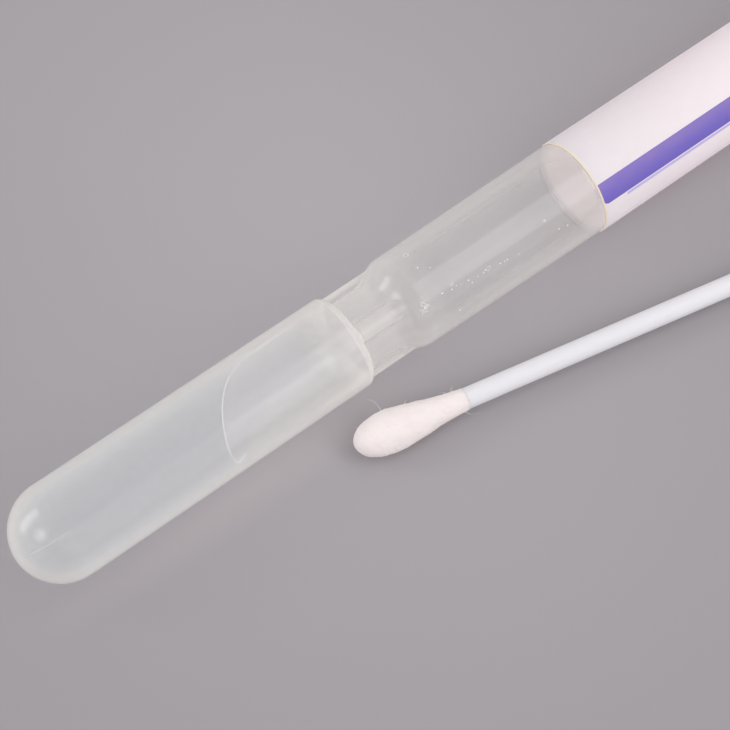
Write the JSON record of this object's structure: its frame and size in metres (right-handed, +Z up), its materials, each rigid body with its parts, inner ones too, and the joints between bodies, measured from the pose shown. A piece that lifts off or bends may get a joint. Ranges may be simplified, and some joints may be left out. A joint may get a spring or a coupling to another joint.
{
  "type": "specimen swab tube",
  "caption": "Squeeze-bulb swab tube: translucent bulb of liquid, ribbed snap-valve neck and collar pushed into a labelled round-ended tube, with its swab lying beside it.",
  "frame": {"origin": "on the resting plane, under the middle of the box round the lying tube and its swab", "axes": "+X along the tube from the bulb towards the closed end of the sample tube, +Z up; the swab lies on the -Y side"},
  "size_m": [0.172, 0.041, 0.0129],
  "materials": {
    "bulb_plastic": "natural milky translucent polyethylene, satin",
    "valve_plastic": "natural translucent polypropylene",
    "buffer_liquid": "clear watery liquid",
    "tube_plastic": "natural translucent polypropylene, satin",
    "label_paper": "white satin label with a violet stripe",
    "stick_plastic": "white semi-gloss extruded stick",
    "bud_fibre": "white wound fibre, matt"
  },
  "bodies": {
    "bulb_side": {"valve_bulb": "bulb_plastic", "snap_valve": "valve_plastic", "buffer": "buffer_liquid", "swab_stick": "stick_plastic", "swab_bud": "bud_fibre"},
    "tube_side": {"sample_tube": "tube_plastic", "label_wrap": "label_paper"}
  },
  "joints": [
    {"name": "tube_pull", "type": "slide", "parent": "bulb_side", "child": "tube_side", "axis": [1, 0, 0], "range_m": [0, 0.016]}
  ]
}
